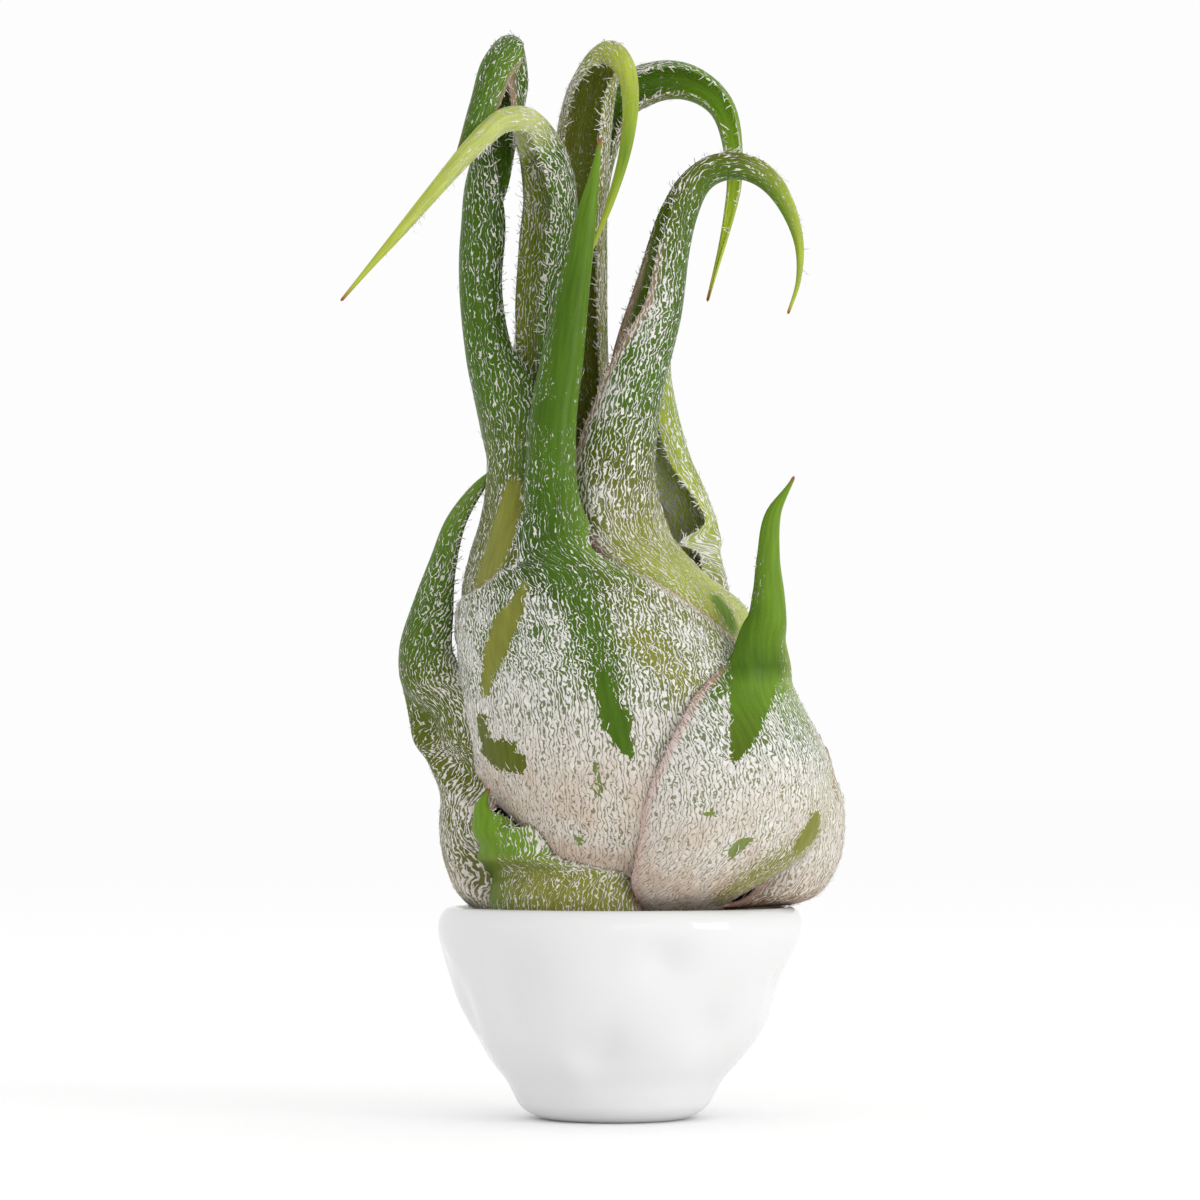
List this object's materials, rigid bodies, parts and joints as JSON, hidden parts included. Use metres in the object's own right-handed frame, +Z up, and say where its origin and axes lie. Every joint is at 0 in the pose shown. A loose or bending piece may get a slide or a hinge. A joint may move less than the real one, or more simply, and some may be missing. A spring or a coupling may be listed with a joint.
{
  "type": "potted air plant",
  "caption": "Bulbous air plant with overlapping swollen sheaths and long rolled, twisting leaves, standing in a small white glazed porcelain bowl.",
  "frame": {"origin": "centre of the flat foot that the bowl stands on", "axes": "+Z up; the view in the picture looks along +Y, with +X to its right"},
  "size_m": [0.1096, 0.098, 0.2384],
  "materials": {
    "porcelain": "glossy white glaze over soft hand-pressed hollows",
    "bark": "dry rough brown stem, hidden by the leaves",
    "leaf": "green skin under a felt of white hairs; smooth green on the upper blades, yellow-green tips, pinkish margins"
  },
  "bodies": {
    "root": {"bowl": "porcelain", "stem": "bark", "leaf_inner_left": "leaf", "leaf_top_back": "leaf", "leaf_arching_back": "leaf", "leaf_hidden_left": "leaf", "leaf_behind_right": "leaf", "leaf_folded_left": "leaf", "leaf_arching_right": "leaf", "leaf_back": "leaf", "leaf_left": "leaf", "leaf_front": "leaf", "leaf_low_back_left": "leaf", "leaf_low_back_right": "leaf", "leaf_low_right": "leaf", "leaf_low_front": "leaf", "leaf_front_right": "leaf"}
  },
  "joints": []
}
